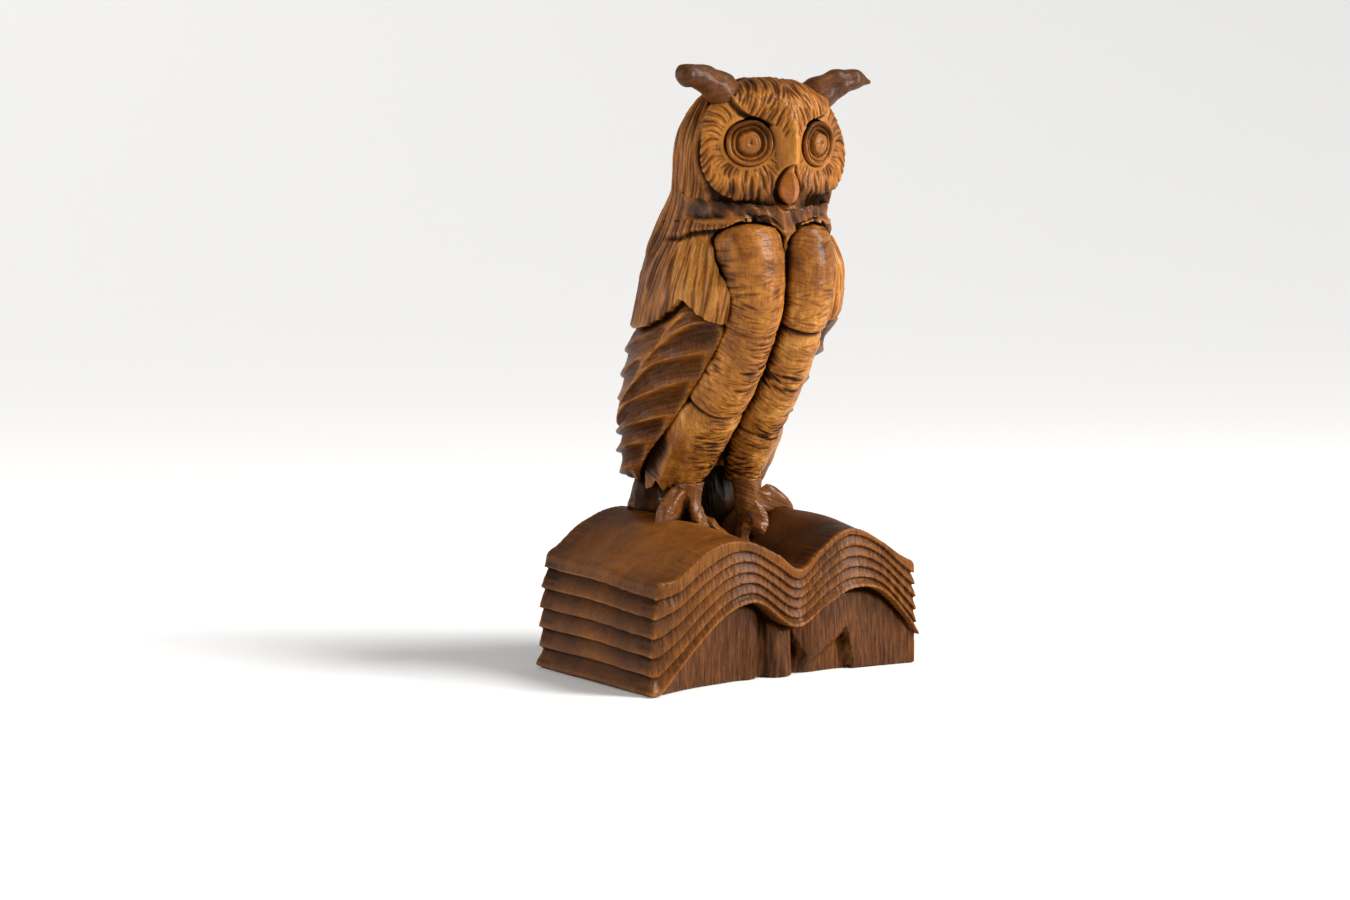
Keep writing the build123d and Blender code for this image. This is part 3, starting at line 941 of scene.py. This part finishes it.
def normals_of(points, quads):
    corners = points[quads]
    face = np.cross(corners[:, 2] - corners[:, 0], corners[:, 3] - corners[:, 1])
    sums = [np.bincount(quads.ravel(), np.repeat(face[:, i], 4), len(points)) for i in range(3)]
    total = np.stack(sums, axis=1)
    return total / np.maximum(np.linalg.norm(total, axis=1, keepdims=True), 1e-9)


def volume_of(points, quads):
    a, b, c, d = (points[quads[:, i]] for i in range(4))
    return float((np.cross(a, b) * c).sum() + (np.cross(a, c) * d).sum()) / 6


def neighbour_mean(values, quads, count):
    """Each point's neighbours' mean, along the edges of its quads."""
    total = np.zeros((count, values.shape[1]))
    links = np.bincount(quads.ravel(), minlength=count) * 2
    for k in range(4):
        for other in ((k + 1) % 4, (k + 3) % 4):
            for axis in range(values.shape[1]):
                total[:, axis] += np.bincount(quads[:, k], values[quads[:, other], axis], count)
    return total / np.maximum(links, 1)[:, None]


def curvature(points, quads, voxel, rounds=3):
    """Above 0 in a hollow, below 0 on a ridge, smoothed over a few points."""
    count = len(points)
    smooth = points
    for _ in range(rounds):
        smooth = neighbour_mean(smooth, quads, count)
    offset = ((smooth - points) * normals_of(points, quads)).sum(axis=1)
    bend = offset[:, None] / (voxel * math.sqrt(rounds))
    return neighbour_mean(bend, quads, count)[:, 0]


# ---- the map of hollows, for painted shade

HOLLOW_GRID = 1  # step of the map in mm
HOLLOW_REACH = 3  # steps that the far map's blur reaches
HOLLOW_MARGIN = 6.0


def box_blur(values, reach):
    for axis in range(3):
        pad = [(0, 0)] * 3
        pad[axis] = (reach + 1, reach)
        total = np.cumsum(np.pad(values, pad, mode="edge"), axis=axis)
        size = values.shape[axis]
        upper = np.take(total, range(2 * reach + 1, 2 * reach + 1 + size), axis=axis)
        lower = np.take(total, range(0, size), axis=axis)
        values = (upper - lower) / (2 * reach + 1)
    return values


def painted_shade_map(fields, low, high):
    """Share of wood close to each place and further round it, over a half in a hollow; and the corner."""
    wood = None
    for field in fields:
        values = fill_grid(field, low, high, HOLLOW_GRID)
        wood = values if wood is None else np.minimum(wood, values)
    share = np.clip(0.5 - wood / HOLLOW_GRID, 0, 1).astype(np.float64)
    near = box_blur(box_blur(share, 1), 1)
    far = box_blur(box_blur(share, HOLLOW_REACH), HOLLOW_REACH)
    return near, far, low


def sample(grid, points, low):
    """The grid's value at points, by trilinear interpolation."""
    at = np.clip((points - low) / HOLLOW_GRID, 0, np.array(grid.shape) - 1.001)
    i = at.astype(int)
    f = at - i
    total = 0
    for corner in np.ndindex(2, 2, 2):
        weight = np.prod(np.where(corner, f, 1 - f), axis=1)
        total = total + weight * grid[tuple((i + corner).T)]
    return total


# ---- materials

class Nodes:
    """Short calls for building the node tree of a material or a world."""

    def __init__(self, owner, shader="Principled BSDF"):
        owner.use_nodes = True
        self.owner = owner
        self.tree = owner.node_tree
        self.shader = self.tree.nodes[shader]

    def new(self, kind, **settings):
        node = self.tree.nodes.new(kind)
        for key, value in settings.items():
            setattr(node, key, value)
        return node

    def link(self, source, target):
        """Joins another node's output to an input, or sets the input to a plain value."""
        if isinstance(source, bpy.types.NodeSocket):
            self.tree.links.new(source, target)
        else:
            target.default_value = source

    def feed(self, node, inputs):
        for name, source in inputs.items():
            self.link(source, node.inputs[name])

    def math(self, operation, a, b=0.0, c=0.0, clamp=False):
        node = self.new("ShaderNodeMath", operation=operation, use_clamp=clamp)
        for value, socket in zip((a, b, c), node.inputs):
            self.link(value, socket)
        return node.outputs[0]

    def centred(self, noise):
        return self.math("SUBTRACT", noise, 0.5)

    def fade(self, value, low, high):
        """0 below low, 1 above high, smooth between."""
        node = self.new("ShaderNodeMapRange", interpolation_type="SMOOTHSTEP")
        self.feed(node, {"Value": value, "From Min": low, "From Max": high})
        return node.outputs["Result"]

    def noise(self, cells, detail=3.0, roughness=0.55, distortion=0.0):
        """Noise from 0 to 1, with so many cells per millimetre along each axis."""
        where = self.new("ShaderNodeTexCoord")
        mapping = self.new("ShaderNodeMapping")
        self.feed(mapping, {"Vector": where.outputs["Object"], "Scale": [c / MM for c in cells]})
        node = self.new("ShaderNodeTexNoise")
        self.feed(node, {"Vector": mapping.outputs["Vector"], "Scale": 1.0, "Detail": detail,
                         "Roughness": roughness, "Distortion": distortion})
        return node.outputs["Fac"]

    def attribute(self, name):
        return self.new("ShaderNodeAttribute", attribute_name=name).outputs["Fac"]

    def ramp(self, value, stops):
        node = self.new("ShaderNodeValToRGB")
        elements = node.color_ramp.elements
        while len(elements) < len(stops):
            elements.new(0.5)
        for element, (at, colour) in zip(elements, stops):
            element.position = at
            element.color = (*colour, 1)
        self.feed(node, {"Fac": value})
        return node.outputs["Color"]


# colours of the stained wood, from the darkest tone to the lightest
WALNUT_STAIN = [(0.0, (0.014, 0.006, 0.002)), (0.18, (0.038, 0.012, 0.003)), (0.38, (0.095, 0.030, 0.005)),
                (0.58, (0.200, 0.066, 0.009)), (0.80, (0.36, 0.135, 0.018)), (1.0, (0.56, 0.28, 0.07))]
RED_STAIN = [(0.0, (0.014, 0.005, 0.002)), (0.18, (0.040, 0.011, 0.002)), (0.38, (0.105, 0.028, 0.004)),
             (0.58, (0.22, 0.060, 0.008)), (0.80, (0.39, 0.12, 0.016)), (1.0, (0.56, 0.25, 0.06))]
BARE_WOOD = [(0.3, (0.42, 0.27, 0.13)), (0.8, (0.68, 0.50, 0.30))]


def carved_wood(name, stain=WALNUT_STAIN, grain=0.15, patchy=0.12, cut=0.36, wear=0.22, shade=1.0,
                rough=0.45, coat=0.18):
    """Stained and varnished carving with upright grain.

    grain and patchy say how unevenly the stain took, finely and broadly. cut darkens the stain in the knife
    cuts and the painted shade under and between parts; shade sets the painted shade in the hollows and
    creases, and wear lightens the rubbed ridges.
    """
    n = Nodes(bpy.data.materials.new(name))
    fine = n.noise((2.6, 2.6, 0.16), 4, 0.65)
    pores = n.noise((5.5, 5.5, 0.35), 2, 0.5)
    patches = n.noise((0.06, 0.06, 0.045), 4, 0.6, 0.6)
    blots = n.noise((0.35, 0.35, 0.22), 3, 0.6)
    dark, bend, near, far = (n.attribute(word) for word in ("dark", "bend", "near", "far"))
    ridge = n.math("MULTIPLY", bend, -1)
    changes = [
        (n.centred(fine), 2.0 * grain),
        (n.centred(patches), 2.4 * patchy),
        (n.centred(blots), 1.4 * patchy),
        (n.fade(pores, 0.60, 0.72), -0.10),
        (dark, -cut),
        # painted shade: darker in creases here, and in hollows by the near and far maps below; the lighter
        # ridges are wear
        (n.fade(bend, 0.03, 0.40), -0.30),
        (n.fade(ridge, 0.05, 0.40), wear),
        (n.fade(near, 0.52, 0.88), -0.50 * shade),
        (n.fade(far, 0.46, 0.80), -0.62 * shade),
    ]
    value = n.attribute("tone")
    for change, amount in changes:
        value = n.math("MULTIPLY_ADD", change, amount, value)
    roughness = n.math("MULTIPLY_ADD", n.centred(blots), 0.25, rough)
    roughness = n.math("MULTIPLY_ADD", n.fade(bend, 0.0, 0.3), 0.25, roughness)
    # the polish doesn't reach into the cuts, and the gloss is turned down in the hollows and under painted
    # shade, as painted shade on the reflections
    out_of_cuts_and_shade = n.math("MULTIPLY_ADD", dark, -0.8, 1.0, clamp=True)
    polish_out_of_shade = n.math("MULTIPLY", n.math("SUBTRACT", 1.0, n.fade(far, 0.42, 0.62)), out_of_cuts_and_shade)
    relief = n.math("MULTIPLY_ADD", fine, 0.7, n.math("MULTIPLY", n.fade(pores, 0.6, 0.75), -0.5))
    grain_bump = n.new("ShaderNodeBump")
    n.feed(grain_bump, {"Strength": 0.5, "Distance": 0.25 * MM, "Height": relief})
    n.feed(n.shader, {
        "Base Color": n.ramp(value, stain),
        "Roughness": roughness,
        "Coat Weight": n.math("MULTIPLY", polish_out_of_shade, coat),
        "Coat Roughness": 0.16,
        "Specular IOR Level": n.math("MULTIPLY", polish_out_of_shade, 0.10),
        "Normal": grain_bump.outputs["Normal"],
    })
    return n.owner


def plain_surface(name, colour, roughness):
    n = Nodes(bpy.data.materials.new(name))
    n.feed(n.shader, {"Base Color": (*colour, 1), "Roughness": roughness})
    return n.owner


def dowel_grain(name):
    """Pale turned hardwood without stain."""
    n = Nodes(bpy.data.materials.new(name))
    value = n.math("MULTIPLY_ADD", n.noise((3.0, 3.0, 0.2), 4), 0.8, 0.1)
    n.feed(n.shader, {"Base Color": n.ramp(value, BARE_WOOD), "Roughness": 0.55})
    return n.owner


LOOKS = {
    "plumage_wood": dict(grain=0.26, patchy=0.20, cut=0.52, wear=0.42, coat=0.24),
    "breast_wood": dict(grain=0.24, patchy=0.42, cut=0.62, shade=0.8, coat=0.15),
    "face_wood": dict(grain=0.20, patchy=0.26, cut=0.50, coat=0.12),
    "page_wood": dict(grain=0.24, patchy=0.16, wear=0.44, coat=0.10),
    "book_wood": dict(grain=0.30, patchy=0.16, wear=0.40),
    "foot_wood": dict(wear=0.35, shade=1.2, rough=0.36, coat=0.3),
    "eye_wood": dict(rough=0.34),
    "beak_wood": dict(stain=RED_STAIN, rough=0.34, coat=0.4),
}
MATERIALS = {name: carved_wood(name, **look) for name, look in LOOKS.items()}


# ---- tone, by place
# Each function gives the tone at points on a piece, from 0 for dark to 1 for light: the stain's own tone,
# with painted shade in places.

MANTLE_TONE = 0.64


def tone_head(x, y, z):
    _, hy = head_frame(x, y, z)
    face = blend(0.50, 0.74, step(z, 137, 143))
    return blend(MANTLE_TONE, face, step(-hy, 16.5, 20)) - 0.16 * step(z, 165, 170)


def tone_body(x, y, z):
    collar = step(-y, 4, 18) * step(z, 126, 129)
    low = step(95 - z, 0, 25)
    # darker low down, most of all in front behind the legs: painted shade
    return blend(MANTLE_TONE, 0.56, collar) - 0.3 * low * step(10 - y, 0, 8) - 0.12 * low


def tone_tail(x, y, z):
    """Darkest in front, between the legs, as painted shade."""
    return 0.32 + 0.18 * step(y, 20, 27)


def tone_covert(x, y, z):
    """Lighter towards the front below the shoulder groove, the body's own tone above it."""
    lobe = 0.61 + 0.20 * step(-y, 2, 14)
    return blend(lobe, tone_body(x, y, z), step(z, 126, 127.5))


def tone_leg(x, y, z):
    # a little darker on the thigh behind the column: painted shade
    return 0.78 - 0.19 * step(z, 106, 120) - 0.04 * step(100 - z, 0, 40) - 0.06 * on_thigh(x, z)


def tone_pages(x, y, z):
    """Dark on top, darkest on the right, and lighter on the front and back faces."""
    top = 0.46 - 0.20 * step(x, -12, 8) + 0.10 * page_flats(x, y)
    return blend(top, 0.53, step(past_faces(y), -2.2, -1))


def tone_cover(x, y, z):
    return blend(0.44, 0.55, step(past_faces(y), -2.5, -1.5))


def even_tone(value):
    return lambda x, y, z: value + 0 * x


# ---- the pieces

NEAR_LIFT = 0.6  # the hollow maps are read this far off the surface
FAR_LIFT = 1.5


def pieces():
    """Every piece: name, CAD node, field, fine carving, slot, mesh step in mm, tone of the stain with
    painted shade in places.
    """
    yield "owl_body", "body", body_field, carve_body, "plumage_wood", 0.40, tone_body
    yield "owl_head", "head", head_field, carve_head, "face_wood", 0.33, tone_head
    yield "owl_tail", "tail", tail_field, carve_tail, "plumage_wood", 0.36, tone_tail
    yield "owl_beak", "beak", beak_field, carve_beak, "beak_wood", 0.16, even_tone(0.66)
    yield ("book_support_carved", "book_support", support_field, carve_support, "book_wood", 0.42,
           even_tone(0.41))
    yield "book_cover_carved", "book_cover", cover_field, carve_book, "book_wood", 0.38, tone_cover
    for side, word in ((-1, "left"), (1, "right")):
        pairs = [
            ("pages", "page_block", pages_field, carve_book, "page_wood", 0.38, tone_pages),
            ("leg_carved", "leg", leg_field, partial(carve_leg, side), "breast_wood", 0.27, tone_leg),
            ("covert", "wing", covert_field, carve_covert, "plumage_wood", 0.30, tone_covert),
            ("feathers", "flight_feathers", flight_field, carve_flight, "plumage_wood", 0.30,
             even_tone(0.64)),
            ("toes", "foot", foot_field, carve_foot, "foot_wood", 0.22, even_tone(0.50)),
            ("tuft", "ear_tuft", ear_field, carve_ear, "face_wood", 0.22, even_tone(0.36)),
            ("eye_disc", "eye", eye_field, partial(carve_eye, side), "eye_wood", 0.15, even_tone(0.62)),
        ]
        for name, node, field, *rest in pairs:
            yield (f"{name}_{word}", f"{node}_{word}", partial(field, side), *rest)


def add_object(name, data):
    thing = bpy.data.objects.new(name, data)
    bpy.context.scene.collection.objects.link(thing)
    return thing


def build(name, node, field, carve, slot, voxel, tone, hollows):
    """Meshes one piece, carves its fine cuts along the normals, and puts it on the frame."""
    low, high = span(node)
    points, quads = surface(field, low - MARGIN, high + MARGIN, voxel)
    if volume_of(points, quads) < 0:
        quads = quads[:, ::-1]
    normals = normals_of(points, quads)
    depth, dark = carve(*points.T)
    points = points - normals * depth[:, None]
    mesh = bpy.data.meshes.new(name)
    mesh.vertices.add(len(points))
    mesh.vertices.foreach_set("co", (points * MM).astype(np.float32).ravel())
    mesh.loops.add(quads.size)
    mesh.loops.foreach_set("vertex_index", quads.astype(np.int32).ravel())
    mesh.polygons.add(len(quads))
    mesh.polygons.foreach_set("loop_start", np.arange(0, quads.size, 4, dtype=np.int32))
    mesh.polygons.foreach_set("use_smooth", np.ones(len(quads), bool))
    mesh.update(calc_edges=True)
    near, far, origin = hollows
    attributes = {
        "dark": dark,
        "bend": curvature(points, quads, voxel),
        # near and far read the hollow maps, which paint shade into the hollows
        "near": sample(near, points + normals * NEAR_LIFT, origin),
        "far": sample(far, points + normals * FAR_LIFT, origin),
        "tone": tone(*points.T),
    }
    for key, values in attributes.items():
        layer = mesh.attributes.new(key, "FLOAT", "POINT")
        layer.data.foreach_set("value", values.astype(np.float32))
    mesh.materials.append(MATERIALS[slot])
    piece = add_object(name, mesh)
    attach(piece, "root")
    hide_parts(node)


box_low, box_high = (np.array(corner) / MM for corner in cad_box)
every_field = [piece[2] for piece in pieces()]
hollows = painted_shade_map(every_field, box_low - HOLLOW_MARGIN, box_high + HOLLOW_MARGIN)
for piece in pieces():
    build(*piece, hollows)

dowel_wood = dowel_grain("dowel_wood")
for node in ("neck_dowel", "ankle_dowel_left", "ankle_dowel_right"):
    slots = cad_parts[node].data.materials
    slots.clear()
    slots.append(dowel_wood)


# ---- room, light and camera

def dish(name, profile, spokes=96):
    """A round sheet through (radius, height) rings, in metres."""
    turns = [2 * math.pi * k / spokes for k in range(spokes)]
    points = [(0, 0, 0)] + [(r * math.cos(t), r * math.sin(t), h) for r, h in profile for t in turns]
    faces = []
    for k in range(spokes):
        after = (k + 1) % spokes
        faces.append((0, 1 + k, 1 + after))
        for inner in range(1, len(points) - spokes, spokes):
            outer = inner + spokes
            faces.append((inner + k, outer + k, outer + after, inner + after))
    mesh = bpy.data.meshes.new(name)
    mesh.from_pydata(points, [], faces)
    mesh.shade_smooth()
    return add_object(name, mesh)


# a white studio sweep: flat under the book, rising gently far away, so that no horizon shows
SWEEP = [(0.5, 0.0), (1.0, 0.0), (1.5, 0.02), (2.0, 0.08), (2.6, 0.2), (3.3, 0.42), (4.2, 0.85)]
floor = dish("floor", SWEEP)
floor.data.materials.append(plain_surface("pale_floor", (0.96, 0.96, 0.96), 0.9))


def studio_world(colour, seen, cast):
    """A white room: one brightness for the camera to see, a lower one to light with."""
    n = Nodes(bpy.data.worlds.new("studio"), "Background")
    ray = n.new("ShaderNodeLightPath")
    strength = n.new("ShaderNodeMapRange")
    n.feed(strength, {"Value": ray.outputs["Is Camera Ray"], "To Min": cast, "To Max": seen})
    n.feed(n.shader, {"Color": (*colour, 1), "Strength": strength.outputs["Result"]})
    bpy.context.scene.world = n.owner


def add_lamp(name, kind, power, colour, aim, place=(0, 0, 0), **settings):
    """A lamp at place that shines towards aim."""
    light = bpy.data.lights.new(name, kind)
    light.energy = power
    light.color = colour
    for key, value in settings.items():
        setattr(light, key, value)
    lamp = add_object(name, light)
    lamp.location = place
    lamp.rotation_euler = (Vector(aim) - Vector(place)).to_track_quat("-Z", "Y").to_euler()


WARM_WHITE = (1.0, 0.98, 0.95)
SUN_WIDTH = math.radians(22.0)  # a wide sun gives the soft edges of a window's light
FIGURE_MIDDLE = (0.0, -0.01, 0.09)

studio_world((0.975, 0.988, 1.0), seen=1.0, cast=0.32)
bpy.context.scene.view_settings.view_transform = "Standard"
add_lamp("sun", "SUN", 2.3, WARM_WHITE, (-0.46, 0.50, -0.74), angle=SUN_WIDTH)
add_lamp("key", "AREA", 7.0, (1.0, 0.97, 0.93), FIGURE_MIDDLE, (0.50, -0.60, 0.36),
         shape="RECTANGLE", size=0.32, size_y=0.32)
add_lamp("wall", "AREA", 6.0, WARM_WHITE, FIGURE_MIDDLE, (-0.95, 0.25, 0.35),
         shape="RECTANGLE", size=0.7, size_y=0.9)

# the photo's own view
CAMERA_PLACE = Vector((-452.7, -615.4, 138.3)) * MM
CAMERA_TURN = math.radians(35.2)
CAMERA_DROP = math.radians(5.57)
camera_data = bpy.data.cameras.new("camera")
camera_data.lens = 70.0
camera_data.sensor_width = 36.0
camera = add_object("camera", camera_data)
camera.location = CAMERA_PLACE
camera.rotation_euler = (math.pi / 2 - CAMERA_DROP, 0, -CAMERA_TURN)
bpy.context.scene.camera = camera
